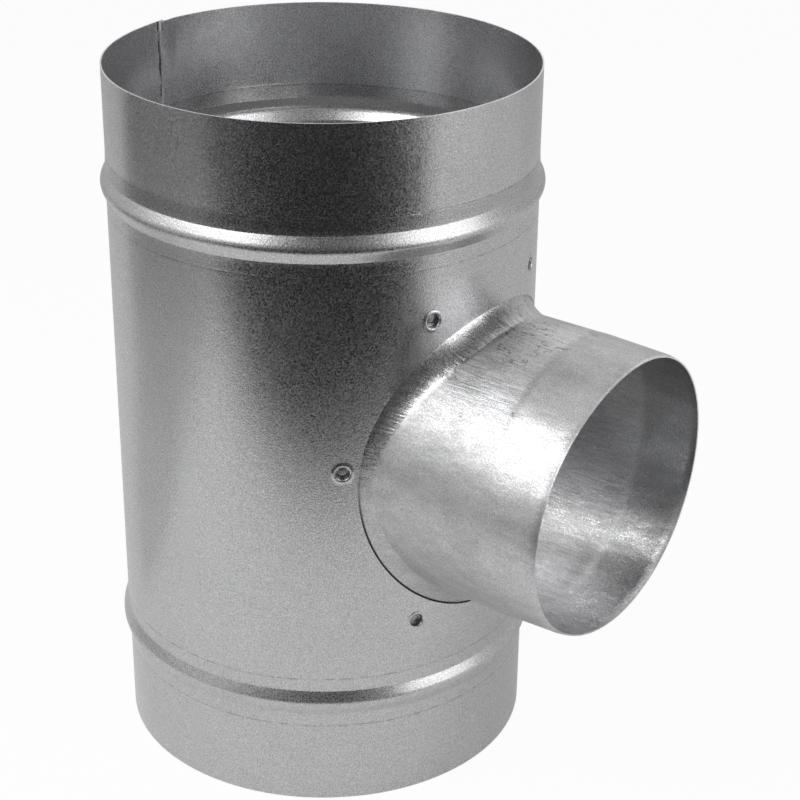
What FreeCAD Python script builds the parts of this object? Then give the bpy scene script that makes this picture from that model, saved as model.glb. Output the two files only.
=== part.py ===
import FreeCAD, Part
import math
import os
from FreeCAD import Base, Vector

# A reducing duct tee of galvanised sheet steel, in millimetres. A rolled barrel stands along +Z, and a
# deep-drawn collar clinched into its wall carries a smaller branch along +X. The origin is the centre of
# the barrel's bottom rim. The barrel's lap seam is opposite the branch.

# The sheet that both pieces are made of
sheet = 0.5

# Barrel: outside of its body, and how much less the radius of its two spigots is. Each stop bead near its
# ends has two flat flanks, and a shoulder leads from the bead's foot down to the spigot.
barrel_radius = 74.9
spigot_step = 0.3
barrel_length = 251.0
bead_from_end = 41.0
bead_height = 2.0
bead_half_width = 4.6
bead_crest_radius = 1.5
crease_radius = 0.4
shoulder_length = 6.2

# Lap seam: the inner end of the sheet steps in under the outer one by the sheet's thickness
lap_width = 3.0
lap_step_length = 6.0

# Branch: its mouth from the barrel's axis, the neck behind the calibrated band, and the turned-in lip
branch_reach = 126.3
branch_height = barrel_length / 2
band_radius = 49.75
band_length = 20.0
band_blend = 3.0
neck_radius = 50.35
lip_length = 4.0
lip_drop = 0.6

# Collar: the fillet outside its neck, the flange behind the barrel wall, and how close the flange lies
collar_fillet = 6.0
flange_width = 16.0
seat_gap = 0.05
hole_gap = 0.3

# Clinch points: a round punch presses both sheets into one cup in the other
punch_radius = 2.1
clinch_depth = 1.2
cup_wall = 0.35
nest_gap = 0.03
ring_radius = 3.3
ring_crest_radius = 2.6
ring_height = 0.12

# Each clinch point's angle round the hole in degrees, anticlockwise from +Y as the branch's mouth is faced,
# and its distance from the hole's edge. They were set by hand, so neither is even.
clinch_places = (
    (2, 8.0),
    (68, 9.2),
    (118, 8.4),
    (175, 6.0),
    (238, 8.8),
    (301, 8.4),
)

# Sizes that follow
spigot_radius = barrel_radius - spigot_step
branch_axis = Vector(1, 0, 0)
branch_centre = Vector(0, 0, branch_height)
flange_radius = barrel_radius - sheet - seat_gap
neck_end = branch_reach - band_length - band_blend
full_turn = 360.0


def fillet_rise_width():
    """How far from its foot the collar's fillet has risen to the barrel wall's inner face."""
    return math.sqrt(collar_fillet ** 2 - (collar_fillet - seat_gap) ** 2)


def hole_half_height():
    """Half the hole along the barrel, clear of the fillet."""
    return neck_radius + collar_fillet - fillet_rise_width() + hole_gap


def hole_half_width():
    """Half the hole round the barrel, measured along the wall, clear of the fillet."""
    foot_angle = math.asin((neck_radius + collar_fillet) / (flange_radius + collar_fillet))
    return barrel_radius * foot_angle - fillet_rise_width() + hole_gap


def wall_corners():
    """Corners of the outside of the wall in the XZ plane, bottom to top, each with its bend's radius."""
    flank_turn = math.atan2(bead_height, bead_half_width)
    crest_x = barrel_radius + bead_height + bead_crest_radius * (1 / math.cos(flank_turn) - 1)
    lower_half = [
        (spigot_radius, 0.0, 0.0),
        (spigot_radius, bead_from_end - bead_half_width - shoulder_length, crease_radius),
        (barrel_radius, bead_from_end - bead_half_width, crease_radius),
        (crest_x, bead_from_end, bead_crest_radius),
        (barrel_radius, bead_from_end + bead_half_width, crease_radius),
    ]
    upper_half = [(x, barrel_length - z, radius) for x, z, radius in lower_half[::-1]]
    return lower_half + upper_half


def wall_line(inset):
    """The barrel wall's line in the XZ plane, bottom to top, inset from the outside of the sheet."""
    corners = wall_corners()
    points = [Vector(x, 0, z) for x, z, radius in corners]
    runs = [(b - a).normalize() for a, b in zip(points, points[1:])]
    inward = [Vector(-run.z, 0, run.x) for run in runs]
    edges = []
    last = points[0] + inward[0] * inset
    for i in range(1, len(points) - 1):
        before, after = runs[i - 1], runs[i]
        corner = points[i] + (inward[i - 1] + inward[i]) * (inset / (1 + inward[i - 1].dot(inward[i])))
        bends_inward = inward[i - 1].dot(after) > 0
        radius = corners[i][2] - inset if bends_inward else corners[i][2] + inset
        half_turn = before.getAngle(after) / 2
        reach = radius * math.tan(half_turn)
        start = corner - before * reach
        end = corner + after * reach
        middle = corner + (after - before).normalize() * radius * (1 / math.cos(half_turn) - 1)
        edges.append(Part.LineSegment(last, start).toShape())
        edges.append(Part.Arc(start, middle, end).toShape())
        last = end
    edges.append(Part.LineSegment(last, points[-1] + inward[-1] * inset).toShape())
    return edges


def wall_section(inset, angle):
    """Closed outline of one sheet of the barrel, turned to an angle about the barrel's axis."""
    outer = wall_line(inset)
    inner = wall_line(inset + sheet)
    rims = []
    for height in (0.0, barrel_length):
        outside = Vector(spigot_radius - inset, 0, height)
        rims.append(Part.LineSegment(outside, outside - Vector(sheet, 0, 0)).toShape())
    wire = Part.Wire(outer + [rims[1]] + inner[::-1] + [rims[0]])
    wire.rotate(Vector(0, 0, 0), Vector(0, 0, 1), angle)
    return wire


def sheet_sector(inset, start, sweep):
    """The sheet rolled from one angle through a sweep."""
    return Part.Face(wall_section(inset, start)).revolve(Vector(0, 0, 0), Vector(0, 0, 1), sweep)


def radial_plug(half_height, half_width, inner_radius, outer_radius):
    """A plug whose sides are square to the barrel wall and whose flat pattern is an ellipse."""
    rims = []
    faces = []
    for radius in (inner_radius, outer_radius):
        surface = Part.Cylinder()
        surface.Radius = radius
        turn = Base.Matrix()
        turn.rotateZ(math.pi)
        surface.transform(turn)
        half_angle = half_width / barrel_radius
        centre = Base.Vector2d(math.pi, branch_height)
        long_end = Base.Vector2d(math.pi, branch_height + half_height)
        side_end = Base.Vector2d(math.pi - half_angle, branch_height)
        outline = Part.Geom2d.Ellipse2d(long_end, side_end, centre)
        rim = outline.toShape(surface)
        face = Part.Face(surface, Part.Wire(rim))
        face.validate()
        rims.append(rim)
        faces.append(face)
    shell = Part.Shell([faces[0], Part.makeRuledSurface(rims[0], rims[1]), faces[1]])
    shell.sewShape()
    plug = Part.Solid(shell)
    plug.fix(1e-4, 1e-4, 1e-4)
    if plug.Volume < 0:
        plug.reverse()
    return plug


def clinch_axis(place):
    """Centre on the outside of the barrel and outward direction of one clinch point."""
    angle, margin = place
    turn = math.radians(angle)
    along = (hole_half_width() + margin) * math.cos(turn)
    rise = (hole_half_height() + margin) * math.sin(turn)
    azimuth = along / barrel_radius
    outward = Vector(math.cos(azimuth), math.sin(azimuth), 0)
    return outward * barrel_radius + Vector(0, 0, branch_height + rise), outward


def post(place, radius, low, high):
    """A round bar on a clinch point's axis, between two distances from the barrel's outside."""
    centre, outward = clinch_axis(place)
    return Part.makeCylinder(radius, high - low, centre + outward * low, outward)


def clinch_outer_half(barrel, place):
    """The barrel's half of a clinch point: a soft ring, the punched recess and the cup behind it."""
    centre, outward = clinch_axis(place)
    base = centre - outward * sheet / 2
    ring = Part.makeCone(ring_radius, ring_crest_radius, sheet / 2 + ring_height, base, outward)
    cup_radius = punch_radius + cup_wall
    recess = post(place, punch_radius, -clinch_depth, sheet)
    cup = post(place, cup_radius, -clinch_depth - cup_wall, -sheet / 2)
    return barrel.fuse(ring).fuse(cup).cut(recess)


def clinch_inner_half(collar, place):
    """The collar's half of a clinch point: the cup that holds the barrel's cup, a button inside."""
    inner = punch_radius + cup_wall + nest_gap
    floor = -clinch_depth - cup_wall - nest_gap
    flange_middle = -sheet - seat_gap - sheet / 2
    cup = post(place, inner + cup_wall, floor - cup_wall, flange_middle)
    hollow = post(place, inner, floor, 0)
    return collar.fuse(cup).cut(hollow)


def saddle(shell_radius, outlet_radius, fillet_radius, outlet_end):
    """A bar along the barrel with a bar along the branch, filleted where they meet."""
    trunk = Part.makeCylinder(shell_radius, barrel_length)
    outlet = Part.makeCylinder(outlet_radius, outlet_end, branch_centre, branch_axis)
    joined = trunk.fuse(outlet).removeSplitter()
    corner = []
    for edge in joined.Edges:
        middle = edge.valueAt((edge.FirstParameter + edge.LastParameter) / 2)
        from_trunk = math.hypot(middle.x, middle.y)
        from_outlet = math.hypot(middle.y, middle.z - branch_height)
        on_both = abs(from_trunk - shell_radius) < 1e-3 and abs(from_outlet - outlet_radius) < 1e-3
        if on_both and middle.x > 0:
            corner.append(edge)
    return joined.makeFillet(fillet_radius, corner)


def neck_ring():
    """The calibrated band and turned-in lip at the end of the neck."""
    bend = (lip_length ** 2 + lip_drop ** 2) / (2 * lip_drop)
    half_turn = math.asin(lip_length / bend) / 2
    lip_start = branch_reach - lip_length
    band_start = branch_reach - band_length
    sides = []
    for inset in (0.0, sheet):
        points = (
            (neck_end, neck_radius - inset),
            (band_start, band_radius - inset),
            (lip_start, band_radius - inset),
        )
        path = [Vector(x, 0, branch_height + r) for x, r in points]
        bend_centre = Vector(lip_start, 0, branch_height + band_radius - bend)
        middle, end = [
            bend_centre + Vector(math.sin(turn), 0, math.cos(turn)) * (bend - inset)
            for turn in (half_turn, 2 * half_turn)
        ]
        lines = [Part.LineSegment(a, b).toShape() for a, b in zip(path, path[1:])]
        sides.append((lines + [Part.Arc(path[-1], middle, end).toShape()], path[0], end))
    (outer, outer_start, outer_end), (inner, inner_start, inner_end) = sides
    rim = Part.LineSegment(outer_end, inner_end).toShape()
    back = Part.LineSegment(inner_start, outer_start).toShape()
    section = Part.Face(Part.Wire(outer + [rim] + inner[::-1] + [back]))
    return section.revolve(branch_centre, branch_axis, full_turn)


def make_barrel():
    """The rolled sheet with its lap seam, beads, branch hole and halves of the clinch points."""
    lap_angle = math.degrees(lap_width / barrel_radius)
    step_angle = math.degrees(lap_step_length / barrel_radius)
    outer_end = 180.0 - lap_angle / 2
    rolled = sheet_sector(0.0, outer_end, full_turn - step_angle)
    inner_end = sheet_sector(sheet, outer_end, lap_angle)
    step_ends = [wall_section(0.0, outer_end - step_angle), wall_section(sheet, outer_end)]
    step = Part.makeLoft(step_ends, True, True)
    barrel = rolled.fuse([step, inner_end])
    hole = radial_plug(hole_half_height(), hole_half_width(), barrel_radius / 2, barrel_radius * 1.5)
    barrel = barrel.cut(hole)
    for place in clinch_places:
        barrel = clinch_outer_half(barrel, place)
    return barrel


def make_collar():
    """The deep-drawn collar: flange, fillet, neck, band, lip and halves of the clinch points."""
    outside = saddle(flange_radius, neck_radius, collar_fillet, neck_end)
    inside = saddle(flange_radius - sheet, neck_radius - sheet, collar_fillet + sheet, branch_reach)
    keep = radial_plug(
        hole_half_height() + flange_width,
        hole_half_width() + flange_width,
        barrel_radius / 2,
        branch_reach + neck_radius,
    )
    collar = outside.common(keep).cut(inside).fuse(neck_ring())
    for place in clinch_places:
        collar = clinch_inner_half(collar, place)
    return collar


def write(name, shape):
    """Tidy one piece, check that it is a single sound solid and write it."""
    shape = shape.removeSplitter()
    solid = shape.Solids[0]
    print(name, "solids", len(shape.Solids), "valid", solid.isValid(), "volume", round(solid.Volume, 1))
    if len(shape.Solids) != 1 or not solid.isValid():
        raise ValueError(name + " is not one sound solid")
    solid.exportStep("parts/" + name + ".step")


os.makedirs("parts", exist_ok=True)
write("barrel", make_barrel())
write("branch_collar", make_collar())
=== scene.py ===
# A reducing duct tee of galvanised sheet: the looks of its two pieces, their studio and the camera.
# Sizes are in millimetres until a mesh is made. The frame's own unit is the metre.
import math

import bpy
import numpy as np
from mathutils import Matrix, Vector
from mathutils.geometry import delaunay_2d_cdt


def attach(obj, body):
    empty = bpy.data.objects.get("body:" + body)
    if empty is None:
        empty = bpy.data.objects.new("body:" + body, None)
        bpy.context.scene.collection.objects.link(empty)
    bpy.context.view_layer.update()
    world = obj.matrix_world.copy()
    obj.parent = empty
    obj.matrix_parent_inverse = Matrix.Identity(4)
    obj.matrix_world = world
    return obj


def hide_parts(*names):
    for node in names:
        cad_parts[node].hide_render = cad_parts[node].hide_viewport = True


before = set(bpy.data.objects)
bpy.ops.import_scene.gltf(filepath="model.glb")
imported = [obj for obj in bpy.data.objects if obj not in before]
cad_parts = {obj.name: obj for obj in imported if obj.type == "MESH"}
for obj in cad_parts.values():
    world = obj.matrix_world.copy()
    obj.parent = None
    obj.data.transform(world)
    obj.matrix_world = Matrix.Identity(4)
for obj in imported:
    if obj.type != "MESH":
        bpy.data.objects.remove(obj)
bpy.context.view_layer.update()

MM = 0.001

# The sheet and the barrel, as in the part
SHEET = 0.5
BARREL_R = 74.9
SPIGOT_R = 74.6
LENGTH = 251.0
BEAD_FROM_END = 41.0
BEAD_HEIGHT = 2.0
BEAD_HALF = 4.6
CREST_BEND = 4.2
CREASE_BEND = 0.4
SHOULDER = 6.2

# The lap seam on the side away from the branch, by the angle along the roll in degrees: the sheet's outer
# end, the start and the end of the step by which it passes under that end, and its inner end, whose cut edge
# is bevelled
LAP_START = 178.85
STEP_START = 534.26
STEP_END = 538.85
LAP_END = 541.15
BURR_BEVEL = 0.3

# How far the lap's outer end springs out at the top rim, and how far along the roll and down that fades
SPRING_OUT = 0.9
SPRING_ALONG = 9.0
SPRING_DOWN = 32.0

# The branch and its hole, whose flat pattern is a circle
HEIGHT = LENGTH / 2
HOLE_R = 55.75
HOLE_DROP = 1.2
FOOT_R = 56.2
SEAT = 0.05
FLANGE_HALF_HEIGHT = 71.9
FLANGE_HALF_WIDTH = 73.7

# Distances from the barrel's axis along the neck
REACH = 126.3
NECK_END = 103.3
BAND_START = 106.3
LIP_START = 122.3

# The neck is drawn, so it isn't quite round. Its outline changes from the one at its base to the one at its
# mouth. Each wave of the mouth says how many lobes it has, and its size by the cosine and by the sine.
BASE_R = 49.4
BASE_OVAL = 1.1
MOUTH_R = 49.77
MOUTH_WAVES = ((2, 2.03, 0.54), (3, -0.68, 0.30))
CHANGE_START, CHANGE_END = 58, 124
SPREAD_START, SPREAD_END = 70, 95
NECK_OVER = 0.4
LIP_DROP = 0.6
BAND_DROP = 0.25
BAND_EASE = (NECK_END - 1.5, BAND_START + 0.5)
BAND_TAPER = 0.5
NECK_DROP = 0.2
NECK_TILT = math.radians(-0.66)
LEAN_START = 80

# The fillet: how much longer it is along the neck than across the barrel, its bend at the foot, what its
# middle and its end on the neck add, and between which turns in degrees they come in and go out. Its length
# is found in a few tries from a first guess of the x where it meets the neck.
FILLET_LONG = 1.35
FOOT_BEND = 1.3
MIDDLE_BEND = 11
MIDDLE_IN, MIDDLE_OUT = (32, 46), (68, 77)
NECK_BEND = 2.4
NECK_IN = (75, 80)
FILLET_GUESS = 70.0
FILLET_TRIES = 3

# Clinch points: angle round the hole and distance from its centre on the flat sheet
CLINCHES = ((2, 63.9), (68.1, 65.3), (117.9, 64.0), (174.7, 61.1), (238.2, 65.1), (301, 64.2))

# The rings of a clinch point: distance from its axis on the flat sheet, then radius and height on the outside
# of the barrel, and radius and height on its inside. Each height is from that side's own surface.
PRESSED = (
    (5.2, 5.2, 0.0, 5.2, 0.0),
    (4.4, 4.4, 0.0, 4.4, 0.0),
    (3.95, 3.95, 0.01, 3.95, 0.0),
    (3.75, 3.75, 0.04, 3.75, 0.0),
    (3.55, 3.55, 0.1, 3.55, 0.0),
    (3.35, 3.35, 0.16, 3.35, 0.0),
    (3.12, 3.14, 0.19, 3.12, 0.0),
    (2.9, 2.92, 0.19, 2.94, -0.02),
    (2.7, 2.72, 0.15, 2.78, -0.06),
    (2.5, 2.54, 0.08, 2.66, -0.16),
    (2.35, 2.4, -0.1, 2.58, -0.4),
    (2.2, 2.3, -0.4, 2.53, -0.8),
    (2.05, 2.26, -0.9, 2.5, -1.2),
    (1.9, 2.23, -1.4, 2.47, -1.42),
    (1.75, 2.15, -1.6, 2.3, -1.52),
    (1.55, 1.9, -1.68, 2.0, -1.54),
    (1.3, 1.5, -1.68, 1.6, -1.54),
    (0.9, 1.0, -1.64, 1.1, -1.54),
    (0.5, 0.5, -1.62, 0.6, -1.54),
)

# The collar's cups lie under the barrel's with a gap. Their backs are wider from the cup's wall on, and less
# deep at its bottom. The three radii say where its edge, wall and bottom start on the flat sheet.
CUP_GAP = 0.04
CUP_WIDER = 0.36
CUP_SHALLOWER = 0.12
CUP_EDGE, CUP_WALL, CUP_BOTTOM = 4.0, 3.4, 2.4

# How finely the barrel is meshed: the longest step and the steps of a bend up its profile, the half size of
# the patch round the branch in degrees and in height, and the steps from angle to angle in degrees
RUN_STEP = 3.6
BEND_STEPS = 7
PATCH_HALF_TURN = 54.0
PATCH_HALF_HEIGHT = 71.0
COLUMNS = (
    (LAP_START, 5), (182.0, 95), (360 - PATCH_HALF_TURN, 90), (360 + PATCH_HALF_TURN, 93), (STEP_START, 8),
    (STEP_END, 3),
)

# Rings round the hole: distance from its edge, count of points and shift by a share of a step. Then how far
# the grid keeps off the hole, and how far the grid and the rings keep off the clinch points' centres.
EDGE_RINGS = ((0.0, 300, 0.0), (0.35, 300, 0.5), (1.0, 300, 0.0), (2.2, 240, 0.0))
GRID_OFF_HOLE = 3.4
GRID_OFF_CLINCH = 5.8
RING_OFF_CLINCH = 5.5

# Steps of the clinch points and of the collar: round it, along its fillet, neck and band, and over its
# flange. A patch's triangles are kept up to its hole's edge, less a hair, and up to the outermost rings.
PRESSED_STEPS = 44
COLLAR_STEPS = 288
FILLET_STEPS = 18
NECK_STEPS = 12
MOUTH_STEPS = ((NECK_END, 5), (BAND_START, 7), (LIP_START, 7))
FLANGE_STEPS = 220
FLANGE_SHARES = (0.08, 0.25, 0.5, 0.75, 0.9, 1.0)
EDGE_HAIR = 0.01
RING_SHARE = 0.997

# The barrel's marks: heights of the rollers' tracks, height and spacing of the stitch welds, the y of the
# sheet's end inside the barrel, and the y from there of its slit of painted shade, its edge of painted
# highlight and the welds' marks
TRACKS = (31.2, 50.6, 200.4, 219.8)
FIRST_WELD = 3.0
WELD_PITCH = 8.1
SEAM_EDGE_Y = -1.5
SLIT_Y, EDGE_Y, WELD_Y = -0.38, 0.1, -5.0

# Where the barrel's painted zones start and end: the radius of the clinch recesses, which get painted shade,
# and how far above or below the branch's axis they may lie, the zone of a bead, and the two ends of the
# painted shade on the shoulder over the upper bead
RECESS_R = (74.2, 73.9)
RECESS_HEIGHT = (72.0, 71.0)
BEAD_ZONE = (7.0, 4.0)
SHOULDER_LOW, SHOULDER_HIGH = (214.4, 215.2), (220.2, 219.6)

# The x at which the fillet ends on the neck, which swings by this much as the barrel curves away
FILLET_END = 72.0
FILLET_SWING = 11.1


# Shapes


def smooth(a, b, x):
    """0 below a, 1 above b, and an even ease between."""
    t = np.clip((np.asarray(x, float) - a) / (b - a), 0, 1)
    return t * t * (3 - 2 * t)


def stepped(stops, end):
    """Values in even steps from stop to stop and to the end. Each stop says how many steps follow it."""
    places = [stop for stop, _ in stops] + [end]
    runs = [np.linspace(a, b, count + 1)[:-1] for (a, count), b in zip(stops, places[1:])]
    return np.concatenate(runs + [[end]])


def bent_line(corners):
    """Points and directions of a line through corners (x, z, bend radius), with its corners rounded."""
    points = [np.array(c[:2], float) for c in corners]
    runs = [(b - a) / np.linalg.norm(b - a) for a, b in zip(points, points[1:])]
    line = [(points[0], runs[0])]
    for i in range(1, len(points) - 1):
        before, after = runs[i - 1], runs[i]
        turn = math.acos(float(np.clip(before @ after, -1, 1)))
        reach = corners[i][2] * math.tan(turn / 2)
        start, end = points[i] - before * reach, points[i] + after * reach
        for k in range(BEND_STEPS + 1):
            t = k / BEND_STEPS
            along = (1 - t) * before + t * after
            spot = (1 - t) ** 2 * start + 2 * t * (1 - t) * points[i] + t * t * end
            line.append((spot, along / np.linalg.norm(along)))
    line.append((points[-1], runs[-1]))
    return line


def filled(line):
    """The same line with points added on its long runs."""
    result = [line[0]]
    for (a, along_a), (b, along_b) in zip(line, line[1:]):
        count = max(1, math.ceil(np.linalg.norm(b - a) / RUN_STEP))
        for k in range(1, count + 1):
            t = k / count
            along = (1 - t) * along_a + t * along_b
            result.append(((1 - t) * a + t * b, along / np.linalg.norm(along)))
    return result


def wall_profile():
    """Radius and height of points up the outside of the barrel's wall, and the outward normals there."""
    flank = math.atan2(BEAD_HEIGHT, BEAD_HALF)
    crest = BARREL_R + BEAD_HEIGHT + CREST_BEND * (1 / math.cos(flank) - 1)
    half = [
        (SPIGOT_R, 0.0, 0.0),
        (SPIGOT_R, BEAD_FROM_END - BEAD_HALF - SHOULDER, CREASE_BEND),
        (BARREL_R, BEAD_FROM_END - BEAD_HALF, CREASE_BEND),
        (crest, BEAD_FROM_END, CREST_BEND),
        (BARREL_R, BEAD_FROM_END + BEAD_HALF, CREASE_BEND),
    ]
    whole = half + [(x, LENGTH - z, bend) for x, z, bend in half[::-1]]
    line = filled(bent_line(whole))
    spots = np.array([spot for spot, _ in line])
    along = np.array([along for _, along in line])
    return spots, np.stack([along[:, 1], -along[:, 0]], 1)


def waviness(angle, z):
    """How far the rolled sheet stands off a true cylinder, in mm."""
    swell = 0.05 * np.sin(2 * angle + 0.7) + 0.05 * np.sin(3 * angle + z / 70 + 2.0)
    ripple = 0.03 * np.sin(5 * angle - z / 45 + 0.4) + 0.02 * np.sin(9 * angle + z / 38)
    return swell + ripple


def lap_inset(turn):
    """How far the sheet lies inside its own outer end, by its angle along the roll in degrees."""
    return SHEET * smooth(STEP_START, STEP_END, turn)


def lap_spring(turn, z):
    """How far the outer end of the sheet springs out near the top rim."""
    from_end = np.radians(turn - LAP_START) * BARREL_R
    return SPRING_OUT * np.exp(-from_end / SPRING_ALONG) * smooth(LENGTH - SPRING_DOWN, LENGTH, z)


def on_barrel(turn, z, radius):
    """Points at an angle in degrees, a height and a radius before the sheet's own unevenness."""
    angle = np.radians(turn)
    r = radius + waviness(angle, z) - lap_inset(turn) + lap_spring(turn, z)
    return np.stack([r * np.cos(angle), r * np.sin(angle), z], -1)


def curved_with_barrel(radius):
    """place(s, z, height, inside): the point at a flat place on a sheet whose outside has the radius."""

    def place(s, z, height, inside):
        inset = -SHEET if inside else 0.0
        turn = 360 + math.degrees(s / BARREL_R)
        return on_barrel(turn, z + HEIGHT, radius + inset + height)

    return place


def round_hole(radius, angle, drop=HOLE_DROP):
    """The flat place at a radius and an angle round the hole's centre, from the branch's axis."""
    return radius * math.cos(angle), radius * math.sin(angle) - drop


def turns(count, shift=0.0):
    """Angles of that many places in a whole turn."""
    return [2 * math.pi * (k + shift) / count for k in range(count)]


CLINCH_CENTRES = [
    np.array([r * math.cos(math.radians(a)), r * math.sin(math.radians(a))]) for a, r in CLINCHES
]


def from_clinch(s, z):
    """Distance from a flat place to the nearest clinch point's centre."""
    return min(math.hypot(s - c[0], z - c[1]) for c in CLINCH_CENTRES)


def outside_of(hole_r, clinch_r):
    """keep(x, y): true for a flat place outside the hole and outside the clinch points' outermost rings."""

    def keep(x, y):
        past_hole = math.hypot(x, y + HOLE_DROP) >= hole_r - EDGE_HAIR
        return past_hole and from_clinch(x, y) > clinch_r * RING_SHARE

    return keep


def triangles(points, loops, keep):
    """Triangles between flat points where keep(x, y) is true. Each closed loop of indices stays as edges."""
    edges = [(a, b) for loop in loops for a, b in zip(loop, loop[1:] + loop[:1])]
    verts, _, faces, origin, _, _ = delaunay_2d_cdt([Vector(p) for p in points], edges, [], 0, 1e-5)
    result = []
    for face in faces:
        x = sum(verts[i].x for i in face) / len(face)
        y = sum(verts[i].y for i in face) / len(face)
        if keep(x, y):
            result.append(tuple(origin[i][0] for i in face))
    return result


class Sheet:
    """A sheet that grows by points. Each has a place on the outside, one on the inside and one when flat."""

    def __init__(self):
        self.outer = []
        self.inner = []
        self.flat = []
        self.faces = []

    def add(self, outer, inner, flat):
        self.outer.append(outer)
        self.inner.append(inner)
        self.flat.append(flat)
        return len(self.outer) - 1

    def fill(self, patch, loops, keep):
        """Triangles between the points of a patch, whose loops are lists of its points."""
        index = {v: k for k, v in enumerate(patch)}
        places = [self.flat[v] for v in patch]
        for face in triangles(places, [[index[v] for v in loop] for loop in loops], keep):
            self.faces.append(tuple(patch[k] for k in face))

    def mesh(self, name):
        """The closed mesh: both sides, and the rims between them."""
        n = len(self.outer)
        faces = [tuple(f) for f in self.faces]
        seen = set()
        for face in faces:
            seen.update(zip(face, face[1:] + face[:1]))
        rims = [(b, a, a + n, b + n) for a, b in seen if (b, a) not in seen]
        backs = [tuple(i + n for i in face[::-1]) for face in faces]
        points = [tuple(MM * np.array(p)) for p in self.outer + self.inner]
        mesh = bpy.data.meshes.new(name)
        mesh.from_pydata(points, [], faces + backs + sorted(rims))
        mesh.validate()
        return mesh


def clinch_rings(sheet, centre, place, profile):
    """Adds one clinch point to the sheet, ring by ring, and fills it. Returns its outermost ring."""
    rings = []
    for flat_r, outer_r, outer_h, inner_r, inner_h in profile:
        ring = []
        for a in turns(PRESSED_STEPS):
            way = np.array([math.cos(a), math.sin(a)])
            outer = place(*(centre + outer_r * way), outer_h, False)
            inner = place(*(centre + inner_r * way), inner_h, True)
            ring.append(sheet.add(outer, inner, tuple(centre + flat_r * way)))
        rings.append(ring)
    for big, small in zip(rings, rings[1:]):
        for k in range(PRESSED_STEPS):
            m = (k + 1) % PRESSED_STEPS
            sheet.faces.append((big[k], big[m], small[m], small[k]))
    _, _, outer_h, _, inner_h = profile[-1]
    hub = sheet.add(place(*centre, outer_h, False), place(*centre, inner_h, True), tuple(centre))
    for k in range(PRESSED_STEPS):
        sheet.faces.append((rings[-1][k], rings[-1][(k + 1) % PRESSED_STEPS], hub))
    return rings[0]


def make_barrel():
    """The rolled sheet: beads, lap seam, branch hole and the outer halves of the clinch points."""
    spots, normals = wall_profile()
    columns = stepped(COLUMNS, LAP_END)
    sheet = Sheet()
    place = curved_with_barrel(BARREL_R)
    near = [j for j in range(len(spots)) if abs(spots[j][1] - HEIGHT) < PATCH_HALF_HEIGHT]
    low, high = near[0], near[-1]
    first = int(np.argmin(abs(columns - (360 - PATCH_HALF_TURN))))
    last = int(np.argmin(abs(columns - (360 + PATCH_HALF_TURN))))
    grid = {}
    patch = []
    for i, turn in enumerate(columns):
        for j, (spot, normal) in enumerate(zip(spots, normals)):
            s, z = math.radians(turn - 360) * BARREL_R, spot[1] - HEIGHT
            inside_patch = first <= i <= last and low <= j <= high
            near_hole = math.hypot(s, z + HOLE_DROP) < HOLE_R + GRID_OFF_HOLE
            if inside_patch and (near_hole or from_clinch(s, z) < GRID_OFF_CLINCH):
                continue
            back = spot - SHEET * normal
            outer = on_barrel(turn, spot[1], spot[0])
            inner = on_barrel(turn - BURR_BEVEL * (turn == LAP_END), back[1], back[0])
            grid[i, j] = sheet.add(outer, inner, (s, z))
            if inside_patch:
                patch.append(grid[i, j])
    for i in range(len(columns) - 1):
        for j in range(len(spots) - 1):
            if first <= i < last and low <= j < high:
                continue
            sheet.faces.append((grid[i, j], grid[i + 1, j], grid[i + 1, j + 1], grid[i, j + 1]))

    loops = []
    for margin, count, shift in EDGE_RINGS:
        ring = []
        for a in turns(count, shift):
            s, z = round_hole(HOLE_R + margin, a)
            if from_clinch(s, z) >= RING_OFF_CLINCH:
                ring.append(sheet.add(place(s, z, 0, False), place(s, z, 0, True), (s, z)))
        patch += ring
        if margin == 0.0:
            loops.append(ring)
    for centre in CLINCH_CENTRES:
        ring = clinch_rings(sheet, centre, place, PRESSED)
        patch += ring
        loops.append(ring)
    sheet.fill(patch, loops, outside_of(HOLE_R, PRESSED[0][0]))
    return sheet.mesh("barrel_sheet")


def neck_outline(x, angle):
    """Outer radius of the neck, band and lip at a distance from the barrel's axis."""
    mouth = MOUTH_R
    for lobes, by_cosine, by_sine in MOUTH_WAVES:
        mouth = mouth + by_cosine * np.cos(lobes * angle) + by_sine * np.sin(lobes * angle)
    base = BASE_R - BASE_OVAL * np.cos(2 * angle)
    spread = smooth(SPREAD_START, SPREAD_END, x)
    before_band = 1 - smooth(*BAND_EASE, x)
    taper = BAND_TAPER * (0.5 - np.clip((x - BAND_START) / (LIP_START - BAND_START), 0, 1))
    lip = np.clip((x - LIP_START) / (REACH - LIP_START), 0, 1)
    r = base + (mouth - base) * smooth(CHANGE_START, CHANGE_END, x)
    r = r + NECK_OVER + BAND_DROP * before_band * spread
    r = r + taper * smooth(SPREAD_END, BAND_START, x)
    return r - LIP_DROP * lip ** 2


def neck_point(x, angle):
    """Point on the outside of the neck, whose axis drops a little towards the mouth."""
    r = neck_outline(x, angle)
    rise = r * math.sin(angle)
    lean = -rise * math.tan(NECK_TILT) * smooth(LEAN_START, REACH, x)
    middle = HEIGHT - NECK_DROP + x * math.tan(NECK_TILT)
    return np.array([x + lean, r * math.cos(angle), middle + rise])


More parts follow.
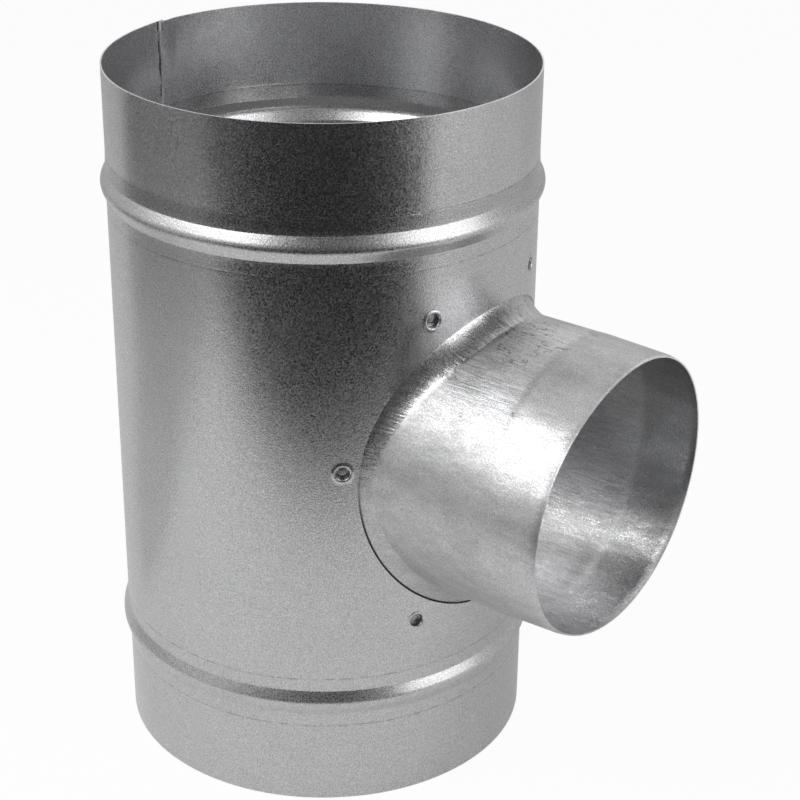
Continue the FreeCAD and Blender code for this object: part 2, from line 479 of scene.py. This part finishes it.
def fillet_shares():
    """How far the fillet has gone towards its corner and then along the neck, 0 to 1, step by step."""
    turn = np.linspace(0, 90, 181)
    middle_bend = MIDDLE_BEND * smooth(*MIDDLE_IN, turn) * (1 - smooth(*MIDDLE_OUT, turn))
    bend = FOOT_BEND + middle_bend + NECK_BEND * smooth(*NECK_IN, turn)
    middle = np.radians((turn[1:] + turn[:-1]) / 2)
    arc = (bend[1:] + bend[:-1]) / 2
    towards = np.concatenate([[0], np.cumsum(arc * np.cos(middle))])
    along = np.concatenate([[0], np.cumsum(arc * np.sin(middle))])
    length = np.concatenate([[0], np.cumsum(arc)])
    places = np.linspace(0, length[-1], FILLET_STEPS + 1)[1:]
    return np.interp(places, length, towards) / towards[-1], np.interp(places, length, along) / along[-1]


def collar_line(angle, foot):
    """Points along the outside of the collar at an angle, from its foot in the hole to its lip."""
    turn = round_hole(FOOT_R, angle)[0] / BARREL_R
    normal = np.array([math.cos(turn), math.sin(turn), 0.0])
    x = FILLET_GUESS
    for _ in range(FILLET_TRIES):
        end = neck_point(x, angle)
        corner_x = foot[0] - normal[1] * (end[1] - foot[1]) / normal[0]
        corner = np.array([corner_x, end[1], end[2]])
        x = corner_x + FILLET_LONG * np.linalg.norm(corner - foot)
    line = [foot]
    for towards, onward in zip(*fillet_shares()):
        line.append(foot + towards * (corner - foot) + onward * np.array([x - corner_x, 0, 0]))
    for t in np.linspace(0, 1, NECK_STEPS + 1)[1:]:
        line.append(neck_point(x + (NECK_END - x) * t, angle))
    for t in stepped(MOUTH_STEPS, REACH)[1:]:
        line.append(neck_point(t, angle))
    return line


def collar_cups():
    """The rings of a clinch point on the collar, which follow the inside of the barrel's rings."""
    profile = []
    for flat_r, _, _, back_r, back_h in PRESSED[1:]:
        gap = CUP_GAP * (flat_r < CUP_EDGE)
        outer_r, outer_h = back_r + gap, back_h - gap
        inner_r = outer_r + CUP_WIDER * (flat_r < CUP_WALL)
        inner_h = outer_h + CUP_SHALLOWER * (flat_r < CUP_BOTTOM)
        profile.append((flat_r, outer_r, outer_h, inner_r, inner_h))
    return profile


def make_collar():
    """The drawn collar: flange, fillet, neck, band, lip and the inner halves of the clinch points."""
    sheet = Sheet()
    place = curved_with_barrel(BARREL_R - SHEET - SEAT)
    feet = [round_hole(FOOT_R, a) for a in turns(COLLAR_STEPS)]
    rows = np.array([collar_line(a, place(*foot, 0, False)) for a, foot in zip(turns(COLLAR_STEPS), feet)])
    along = np.gradient(rows, axis=1)
    around = (np.roll(rows, -1, 0) - np.roll(rows, 1, 0)) / 2
    normals = np.cross(around, along)
    normals /= np.linalg.norm(normals, axis=2, keepdims=True)
    backs = rows - SHEET * normals
    grid = np.zeros(rows.shape[:2], int)
    for k, foot in enumerate(feet):
        for m in range(rows.shape[1]):
            back = backs[k, m] if m else place(*foot, 0, True)
            grid[k, m] = sheet.add(rows[k, m], back, foot)
    for k in range(COLLAR_STEPS):
        n = (k + 1) % COLLAR_STEPS
        for m in range(rows.shape[1] - 1):
            sheet.faces.append((int(grid[k, m]), int(grid[n, m]), int(grid[n, m + 1]), int(grid[k, m + 1])))

    # The flange is flat sheet curved with the barrel, so its points are polar ones round the branch's axis
    patch = [int(v) for v in grid[:, 0]]
    loops = [list(patch)]
    for share in FLANGE_SHARES:
        ring = []
        for a in turns(FLANGE_STEPS):
            r = 1 / math.hypot(math.cos(a) / FLANGE_HALF_WIDTH, math.sin(a) / FLANGE_HALF_HEIGHT)
            s, z = round_hole(FOOT_R + (r - FOOT_R) * share, a, HOLE_DROP * (1 - share))
            if share == 1 or from_clinch(s, z) >= GRID_OFF_CLINCH:
                ring.append(sheet.add(place(s, z, 0, False), place(s, z, 0, True), (s, z)))
        patch += ring
        if share == 1:
            loops.append(ring)
    for centre in CLINCH_CENTRES:
        ring = clinch_rings(sheet, centre, place, collar_cups())
        patch += ring
        loops.append(ring)
    sheet.fill(patch, loops, outside_of(FOOT_R, PRESSED[1][0]))
    return sheet.mesh("collar_sheet")


# Materials


class Nodes:
    """A short way to write a node tree."""

    def __init__(self, tree):
        self.tree = tree
        tree.nodes.clear()

    def new(self, kind, inputs=None, **settings):
        node = self.tree.nodes.new(kind)
        for name, value in settings.items():
            setattr(node, name, value)
        for name, value in (inputs or {}).items():
            socket = node.inputs[name]
            if isinstance(value, bpy.types.NodeSocket):
                self.tree.links.new(value, socket)
            else:
                socket.default_value = value
        return node

    def math(self, operation, *values):
        return self.new("ShaderNodeMath", dict(enumerate(values)), operation=operation).outputs[0]

    def times(self, a, b):
        return self.math("MULTIPLY", a, b)

    def scaled(self, value, factor, start):
        """start plus value times factor."""
        return self.math("MULTIPLY_ADD", value, factor, start)

    def toned(self, grey, mask, change):
        """The grey, lighter by the change where the mask is 1, or darker by a negative change."""
        return self.times(grey, self.scaled(mask, change, 1.0))

    def off(self, value, middle):
        """How far a value is from the middle."""
        return self.math("ABSOLUTE", self.math("SUBTRACT", value, middle))

    def length(self, a, b):
        return self.math("SQRT", self.math("ADD", self.times(a, a), self.times(b, b)))

    def span(self, value, a, b, c=0.0, d=1.0):
        """c at a, d at b, and an even ease between."""
        ends = {"From Min": a, "From Max": b, "To Min": c, "To Max": d}
        node = self.new("ShaderNodeMapRange", {"Value": value, **ends}, interpolation_type="SMOOTHSTEP")
        return node.outputs[0]

    def noise(self, place, scale, detail=2.0, rough=0.5):
        """Noise whose scale is one over its size in millimetres."""
        inputs = {"Vector": place, "Scale": scale, "Detail": detail, "Roughness": rough}
        return self.new("ShaderNodeTexNoise", inputs).outputs["Fac"]

    def stretched(self, place, *scale):
        return self.new("ShaderNodeMapping", {"Vector": place, "Scale": scale}).outputs[0]


def new_material(name):
    """A material and its empty node tree."""
    material = bpy.data.materials.new(name)
    material.use_nodes = True
    return material, Nodes(material.node_tree)


def galvanised(name, tone, roughness, dress_up):
    """Bare galvanised sheet: spangle, uneven gloss, and what dress_up adds to its grey, gloss and relief."""
    material, n = new_material(name)
    place = n.new("ShaderNodeTexCoord").outputs["Object"]
    place = n.stretched(place, 1 / MM, 1 / MM, 1 / MM)
    spangle = n.span(n.noise(place, 2.9, 1.0, 0.5), 0.3, 0.7)
    cloud = n.noise(place, 0.05, 3.0, 0.55)
    grey = n.scaled(spangle, 0.48, 0.76)
    grey = n.times(grey, n.scaled(cloud, 0.10, 0.95))
    grains = n.span(n.noise(place, 2.3, 1.0, 0.5), 0.3, 0.7)
    gloss = n.scaled(cloud, 0.06, roughness - 0.03)
    gloss = n.scaled(n.math("SUBTRACT", grains, 0.5), 0.18, gloss)
    relief = n.times(n.noise(place, 1.6, 2.0, 0.6), 0.05)
    grey, gloss, relief = dress_up(n, place, grey, gloss, relief)
    grey = n.math("MINIMUM", n.times(grey, tone), 0.9)
    colour = n.new("ShaderNodeCombineColor", {"Red": grey, "Green": grey, "Blue": n.times(grey, 1.012)})
    bump = n.new("ShaderNodeBump", {"Height": relief, "Strength": 1.0, "Distance": MM})
    skin = n.new("ShaderNodeBsdfPrincipled", {
        "Base Color": colour.outputs[0], "Metallic": 1.0, "Roughness": gloss, "Normal": bump.outputs[0],
    })
    n.new("ShaderNodeOutputMaterial", {"Surface": skin.outputs[0]})
    return material


def facing_in(n, *outward):
    """1 on the side of the sheet that faces against the outward direction given, 0 on the other side."""
    direction = n.new("ShaderNodeCombineXYZ", dict(zip("XYZ", outward))).outputs[0]
    normal = n.new("ShaderNodeNewGeometry").outputs["True Normal"]
    along = n.new("ShaderNodeVectorMath", {0: normal, 1: direction}, operation="DOT_PRODUCT").outputs["Value"]
    return n.span(along, 2.0, -2.0)


def rolled(n, place, grey, gloss, relief):
    """The barrel's marks and its painted light and shade, on grey, gloss and relief."""
    x, y, z = n.new("ShaderNodeSeparateXYZ", {"Vector": place}).outputs
    inside = facing_in(n, x, y, 0.0)
    # Painted light: the inside of the barrel is painted lighter than its outside
    grey = n.toned(grey, inside, 0.36)

    # The clinch recesses are the only places outside that lie deeper than the wall. They get painted shade.
    from_axis = n.length(x, y)
    recess_shade = n.times(n.span(from_axis, *RECESS_R), n.math("SUBTRACT", 1.0, inside))
    recess_shade = n.times(recess_shade, n.span(n.off(z, HEIGHT), *RECESS_HEIGHT))
    grey = n.toned(grey, recess_shade, -0.45)

    # Duller beads, and faint lines all round from the rolling
    for height in (BEAD_FROM_END, LENGTH - BEAD_FROM_END):
        near_bead = n.span(n.off(z, height), *BEAD_ZONE)
        gloss = n.scaled(near_bead, 0.07, gloss)
    lines = n.span(n.noise(n.stretched(place, 0.12, 0.12, 2.2), 1.0, 2.0, 0.5), 0.35, 0.65)
    grey = n.times(grey, n.scaled(lines, 0.05, 0.975))

    # The bead rollers' tracks: dark, shallow, broken lines that wander a little
    wander = n.scaled(n.noise(place, 0.02, 1.0), 1.2, -0.6)
    broken = n.span(n.noise(place, 0.35, 3.0, 0.7), 0.42, 0.58)
    for height in TRACKS:
        off = n.off(n.math("ADD", z, wander), height)
        track = n.times(n.span(off, 0.5, 0.1), n.scaled(broken, 0.8, 0.2))
        grey = n.toned(grey, track, -0.32)
        relief = n.scaled(track, -0.03, relief)

    # A painted highlight on the cut rim, and painted shade on the step between the upper bead and its spigot
    rim_highlight = n.span(z, LENGTH - 0.3, LENGTH - 0.1)
    grey = n.toned(grey, rim_highlight, 0.45)
    shoulder_shade = n.times(n.span(z, *SHOULDER_HIGH), n.span(z, *SHOULDER_LOW))
    grey = n.toned(grey, shoulder_shade, -0.16)

    # The seam inside: painted shade in a slit beside the sheet's end, open between the stitch welds, a
    # painted highlight on the end's rough edge, and light marks in line with the slits further along
    behind = n.span(x, -60.0, -61.0)
    stitch = n.math("PINGPONG", n.math("SUBTRACT", z, FIRST_WELD), WELD_PITCH / 2)
    gap = n.times(n.span(stitch, 1.6, 1.9), behind)
    beside = n.math("SUBTRACT", y, SEAM_EDGE_Y)
    slit_shade = n.times(n.span(n.off(beside, SLIT_Y), 0.36, 0.2), gap)
    grey = n.toned(grey, slit_shade, -0.93)
    rough_edge_and_highlight = n.times(n.span(n.off(beside, EDGE_Y), 0.38, 0.2), behind)
    rough_edge_and_highlight = n.times(rough_edge_and_highlight, n.scaled(broken, 0.7, 0.3))
    rough_edge_and_highlight = n.times(rough_edge_and_highlight, n.span(from_axis, BARREL_R - SHEET + 0.1, BARREL_R - SHEET))
    grey = n.scaled(rough_edge_and_highlight, 0.3, grey)
    gloss = n.scaled(rough_edge_and_highlight, 0.4, gloss)
    weld = n.times(n.span(n.off(beside, WELD_Y), 0.5, 0.2), gap)
    weld = n.times(weld, broken)
    grey = n.scaled(weld, 0.5, grey)
    return grey, gloss, relief


def drawn(n, place, grey, gloss, relief):
    """The collar's marks and its painted light and shade, on grey, gloss and relief."""
    # Where a place is: how far above the branch's axis, on which side, past the fillet, before or on the band
    x, y, z = n.new("ShaderNodeSeparateXYZ", {"Vector": place}).outputs
    above = n.math("SUBTRACT", z, HEIGHT)
    inside = facing_in(n, 0.0, y, above)
    outside = n.math("SUBTRACT", 1.0, inside)
    from_branch = n.length(above, y)
    oval = n.math("SUBTRACT", n.times(y, y), n.times(above, above))
    oval = n.math("DIVIDE", oval, n.times(from_branch, from_branch))
    past_fillet = n.math("SUBTRACT", n.scaled(oval, FILLET_SWING, x), FILLET_END)
    on_neck = n.math("MAXIMUM", n.span(past_fillet, -0.2, 1.6), n.span(above, 12.0, -8.0))
    on_band = n.span(x, NECK_END, BAND_START)
    before_band = n.span(x, NECK_END + 1, NECK_END - 2)
    gloss = n.scaled(on_neck, 0.19, gloss)
    gloss = n.scaled(n.times(on_neck, inside), -0.10, gloss)
    gloss = n.scaled(on_band, -0.05, gloss)

    # Drawing streaks along the neck, strongest on its top and inside
    streaks = n.span(n.noise(n.stretched(place, 0.05, 1.0, 1.0), 1.7, 3.0, 0.65), 0.32, 0.68)
    top = n.times(n.span(above, 24.0, 38.0), n.span(y, 18.0, 2.0))
    share = n.math("MAXIMUM", n.scaled(top, 0.9, 0.1), n.times(inside, 0.9))
    share = n.times(n.times(on_neck, before_band), share)
    mark = n.times(n.math("SUBTRACT", streaks, 0.5), share)
    scratched = n.times(n.times(top, outside), n.times(on_neck, before_band))
    gloss = n.scaled(scratched, 0.03, gloss)
    relief = n.scaled(n.times(mark, scratched), 0.02, relief)
    grey = n.toned(grey, mark, 0.34)
    relief = n.scaled(mark, 0.02, relief)

    # Painted light: the inside lighter, least towards its bottom, the top of the neck near the band lighter,
    # and a painted highlight on a part of the band; and painted shade on the band's inside
    painted_light = n.times(inside, n.span(above, -34.0, -20.0, 0.08, 0.36))
    painted_light = n.scaled(n.times(scratched, n.span(x, 84.0, 98.0)), 0.34, painted_light)
    band_highlight = n.times(n.times(on_band, outside), n.span(above, 18.0, 26.0))
    band_highlight = n.times(band_highlight, n.times(n.span(y, -14.0, -22.0), n.span(y, -42.0, -32.0)))
    painted_light = n.scaled(band_highlight, 0.28, painted_light)
    grey = n.times(grey, n.math("ADD", painted_light, 1.0))
    band_shade = n.times(on_band, n.scaled(inside, -0.21, 0.01))
    grey = n.times(grey, n.math("ADD", band_shade, 1.0))

    # Soft blotches and dents
    stretched = n.stretched(place, 0.5, 1.0, 1.0)
    blotch = n.span(n.noise(stretched, 0.19, 5.0, 0.65), 0.3, 0.7)
    grey = n.times(grey, n.scaled(blotch, -0.15, 1.075))
    gloss = n.scaled(blotch, 0.06, gloss)
    relief = n.scaled(n.noise(stretched, 0.14, 3.0, 0.5), 0.32, relief)

    # Curling stains over the top of the neck, and washed lines at the bottom inside the mouth
    bent = n.noise(stretched, 0.24, 2.0, 0.5)
    curl = n.span(n.off(bent, 0.53), 0.018, 0.005)
    stained = n.span(n.noise(place, 0.045, 2.0, 0.5), 0.5, 0.6)
    stained = n.times(stained, n.span(n.noise(place, 0.3, 2.0, 0.5), 0.45, 0.6))
    stained = n.times(stained, n.span(above, 10.0, 30.0))
    crest = n.times(n.span(above, 41.0, 45.0), n.span(n.noise(place, 0.12, 1.0, 0.5), 0.4, 0.5))
    stained = n.math("MAXIMUM", stained, crest)
    darkened = n.times(n.times(curl, stained), outside)
    darkened = n.times(darkened, n.scaled(on_band, -0.85, 1.0))
    grey = n.toned(grey, darkened, -0.5)
    washed = n.times(n.span(above, -36.0, -44.0), n.times(inside, n.span(x, 98.0, 108.0)))
    grey = n.toned(grey, n.times(curl, washed), 0.4)

    # Pleats in the fillet's upper part, which run with the branch
    around = n.math("ARCTAN2", above, y)
    pleats = n.new("ShaderNodeCombineXYZ", {"X": n.times(around, 50.0), "Y": n.times(x, 0.08)})
    pleats = n.span(n.noise(pleats.outputs[0], 1.5, 1.0, 0.5), 0.35, 0.65)
    in_fillet = n.times(n.span(past_fillet, 0.2, -1.0), n.span(past_fillet, -7.5, -4.5))
    in_fillet = n.times(in_fillet, n.span(above, -8.0, 12.0))
    in_fillet = n.times(n.math("SUBTRACT", pleats, 0.5), in_fillet)
    relief = n.scaled(in_fillet, 0.04, relief)
    grey = n.toned(grey, in_fillet, 0.4)

    # Painted shade in the crevice where the collar comes out of the hole, and a painted highlight on the cut
    # rim
    from_axis = n.length(x, y)
    crevice_shade = n.times(n.span(from_axis, BARREL_R - 0.05, BARREL_R - 0.25), n.span(above, 10.0, -20.0))
    crevice_shade = n.times(crevice_shade, outside)
    grey = n.toned(grey, crevice_shade, -0.9)
    rim_highlight = n.span(x, REACH - 0.25, REACH - 0.1)
    grey = n.toned(grey, rim_highlight, 0.35)
    return grey, gloss, relief


def glowing(name, strength, fade=None):
    """A stage surface of plain brightness, or one that fades between two distances along its own X."""
    material, n = new_material(name)
    if fade:
        start, end, start_strength = fade
        place = n.new("ShaderNodeTexCoord").outputs["Object"]
        away = n.new("ShaderNodeSeparateXYZ", {"Vector": place}).outputs[0]
        ends = {"From Min": start, "From Max": end, "To Min": start_strength, "To Max": strength}
        strength = n.new("ShaderNodeMapRange", {"Value": away, **ends}).outputs[0]
    glow = n.new("ShaderNodeEmission", {"Strength": strength})
    n.new("ShaderNodeOutputMaterial", {"Surface": glow.outputs[0]})
    return material


def shown_to_camera_and_metal(n):
    """1 for camera, glossy and transmission rays, 0 for the rest."""
    path = n.new("ShaderNodeLightPath")
    seen = n.math("MAXIMUM", path.outputs["Is Camera Ray"], path.outputs["Is Glossy Ray"])
    return n.math("MAXIMUM", seen, path.outputs["Is Transmission Ray"])


# Studio, in metres

CAMERA_PLACE = Vector((0.4055, -0.4985, 0.4303))
HEADING, PITCH, ROLL = math.radians(126.68), math.radians(-25.59), math.radians(0.69)
LENS = 87.507
SENSOR = 36.0
CAMERA_SIDE = math.atan2(CAMERA_PLACE.y, CAMERA_PLACE.x)

FLOOR_HALF = 6.0
FLOOR_DROP = 0.0002
ROOM_HALF = 2.2
ROOM_TOP = 2.4
CARD_LIFT = 0.001
INSIDE_R = 0.073
LAMP_AIM = Vector((0, 0, 0.14))
LAMP_WATTS = 4

# How bright the floor is: its grey as a lit surface, and the shares of plain white that the camera and the
# metal see. Then the world's brightness as a light, and what the metal sees more of it.
FLOOR_GREY = (0.9, 0.9, 0.9, 1)
FLOOR_TO_CAMERA = 0.95
FLOOR_TO_METAL = 0.15
WORLD_LIGHT = 0.36
WORLD_TO_METAL = 0.44


def level(x0, y0, x1, y1, z):
    """The corners of a level rectangle."""
    return [(x0, y0, z), (x1, y0, z), (x1, y1, z), (x0, y1, z)]


def upright(x0, y0, x1, y1, low, high):
    """The corners of an upright rectangle."""
    return [(x0, y0, low), (x1, y1, low), (x1, y1, high), (x0, y0, high)]


def on_floor(*places):
    """Corners that lie just over the floor."""
    return [(x, y, CARD_LIFT) for x, y in places]


def card(name, corners, strength, fade=None):
    """A flat card that only metal sees. Its corners are to the camera's right, away from it and up."""
    mesh = bpy.data.meshes.new(name)
    mesh.from_pydata([tuple(c) for c in corners], [], [tuple(range(len(corners)))])
    piece = bpy.data.objects.new(name, mesh)
    bpy.context.scene.collection.objects.link(piece)
    piece.rotation_euler.z = CAMERA_SIDE + math.pi / 2
    piece.data.materials.append(glowing(name, strength, fade))
    piece.visible_camera = False
    piece.visible_diffuse = False
    piece.visible_shadow = False


def from_camera(right, towards, up):
    """A place in the studio, from the barrel's axis: to the camera's right, towards it and up."""
    front = Vector((math.cos(CAMERA_SIDE), math.sin(CAMERA_SIDE), 0))
    side = Vector((-front.y, front.x, 0))
    return side * right + front * towards + Vector((0, 0, up))


def make_camera():
    level_part = math.cos(PITCH)
    forward = Vector((math.cos(HEADING) * level_part, math.sin(HEADING) * level_part, math.sin(PITCH)))
    right = forward.cross(Vector((0, 0, 1))).normalized()
    up = right.cross(forward)
    side = right * math.cos(ROLL) + up * math.sin(ROLL)
    top = up * math.cos(ROLL) - right * math.sin(ROLL)
    data = bpy.data.cameras.new("camera")
    data.sensor_width = SENSOR
    data.lens = LENS
    data.clip_start = 0.05
    camera = bpy.data.objects.new("camera", data)
    bpy.context.scene.collection.objects.link(camera)
    matrix = Matrix((side, top, -forward)).transposed().to_4x4()
    matrix.translation = CAMERA_PLACE
    camera.matrix_world = matrix
    bpy.context.scene.camera = camera


def make_floor():
    """A pale matt floor that looks nearly white to the camera."""
    mesh = bpy.data.meshes.new("floor")
    mesh.from_pydata(level(-FLOOR_HALF, -FLOOR_HALF, FLOOR_HALF, FLOOR_HALF, 0), [], [(0, 1, 2, 3)])
    floor = bpy.data.objects.new("floor", mesh)
    floor.location.z = -FLOOR_DROP
    bpy.context.scene.collection.objects.link(floor)
    material, n = new_material("floor")
    paint = n.new("ShaderNodeBsdfDiffuse", {"Color": FLOOR_GREY})
    glow = n.new("ShaderNodeEmission", {"Strength": 1.0})
    path = n.new("ShaderNodeLightPath")
    share = n.times(path.outputs["Is Camera Ray"], FLOOR_TO_CAMERA)
    for ray in ("Is Glossy Ray", "Is Transmission Ray"):
        share = n.scaled(path.outputs[ray], FLOOR_TO_METAL, share)
    mix = n.new("ShaderNodeMixShader", {0: share, 1: paint.outputs[0], 2: glow.outputs[0]})
    n.new("ShaderNodeOutputMaterial", {"Surface": mix.outputs[0]})
    mesh.materials.append(material)


def make_world():
    """White to the camera, bright to the metal and dim as a light."""
    world = bpy.data.worlds.new("world")
    bpy.context.scene.world = world
    world.use_nodes = True
    n = Nodes(world.node_tree)
    strength = n.scaled(shown_to_camera_and_metal(n), WORLD_TO_METAL, WORLD_LIGHT)
    path = n.new("ShaderNodeLightPath")
    strength = n.math("MAXIMUM", strength, path.outputs["Is Camera Ray"])
    background = n.new("ShaderNodeBackground", {"Color": (1.0, 1.0, 1.0, 1.0), "Strength": strength})
    n.new("ShaderNodeOutputWorld", {"Surface": background.outputs[0]})


def softbox(name, middle, width, height, strength):
    """A lamp the size of a studio softbox, aimed at the tee."""
    data = bpy.data.lights.new(name, "AREA")
    data.shape = "RECTANGLE"
    data.size, data.size_y = width, height
    data.energy = LAMP_WATTS * strength * width * height
    lamp = bpy.data.objects.new(name, data)
    bpy.context.scene.collection.objects.link(lamp)
    lamp.location = middle
    lamp.rotation_euler = (LAMP_AIM - middle).to_track_quat("-Z", "Y").to_euler()


def make_studio():
    """Two softboxes, and cards for the darker parts of the studio that the sheet reflects."""
    softbox("left_softbox", from_camera(-0.43, 0.20, 0.63), 0.76, 0.52, 1.82)
    softbox("right_softbox", from_camera(0.69, 0.40, 0.44), 0.62, 0.68, 1.32)
    card("front_card", on_floor(
        (-0.46, -0.318), (0.20, -0.313), (0.42, -0.36), (0.62, -0.46), (0.9, -3.0), (-0.9, -3.0),
    ), 0.02)
    card("front_card_right", on_floor((0.62, -0.46), (3.0, -1.4), (0.9, -3.0)), 0.16)
    card("front_card_left", on_floor((-0.46, -0.318), (-0.9, -3.0), (-3.0, -2.0), (-0.9, -0.42)), 0.07)
    card("left_card", on_floor(
        (-0.155, 0.03), (-0.24, -0.03), (-0.34, -0.10), (-0.42, -0.318), (-0.9, -0.42), (-1.1, -0.40),
        (-1.1, 0.50), (-0.70, 0.40), (-0.34, 0.15), (-0.22, 0.10),
    ), 0.58, (-0.80, -0.30, 0.12))
    card("right_card", on_floor((0.44, -0.25), (0.75, -0.45), (3.0, -1.4), (3.0, 1.2), (0.50, 0.30)), 0.62)
    card("front_wall", upright(-0.55, -1.3, 0.55, -1.3, 0, 1.1), 0.08)
    card("front_flag", [(-0.5, -1.3, 1.1), (0.5, -1.3, 1.1), (0.5, 0.0, 1.5), (-0.3, 0.0, 1.5)], 0.14)
    card("right_flag", [(0.5, -0.5, 1.2), (1.4, -0.5, 0.9), (1.4, 0.6, 0.9), (0.4, 0.6, 1.2)], 0.12)
    half = ROOM_HALF
    card("left_wall", upright(-half, -half, -half, half, 0, ROOM_TOP), 0.56)
    card("right_wall", upright(half, half, half, -half, 0, ROOM_TOP), 0.50)
    card("near_wall", upright(half, -half, -half, -half, 0, ROOM_TOP), 0.25)
    card("back_wall", upright(-half, half, half, half, 0, ROOM_TOP), 0.62)
    circle = [(INSIDE_R * math.cos(a), INSIDE_R * math.sin(a)) for a in turns(48)]
    card("floor_within", on_floor(*circle), 0.15)
    card("top_flag", level(-1.7, -0.3, -0.62, 1.1, ROOM_TOP - 0.02), 0.28)
    card("back_card", upright(0.2, 2.15, 1.7, 2.15, 1.0, 2.3), 0.9)
    card("ceiling", level(-half, -half, half, half, ROOM_TOP), 0.68)


def dress(mesh, node, material):
    """Puts a mesh in the place of a CAD node."""
    mesh.materials.append(material)
    mesh.set_sharp_from_angle(angle=math.radians(40))
    piece = bpy.data.objects.new(mesh.name, mesh)
    bpy.context.scene.collection.objects.link(piece)
    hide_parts(node)
    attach(piece, "root")


make_camera()
make_floor()
make_world()
make_studio()
dress(make_barrel(), "barrel", galvanised("rolled_steel", 0.565, 0.24, rolled))
dress(make_collar(), "branch_collar", galvanised("drawn_steel", 0.575, 0.24, drawn))

bpy.context.scene.view_settings.view_transform = "Standard"
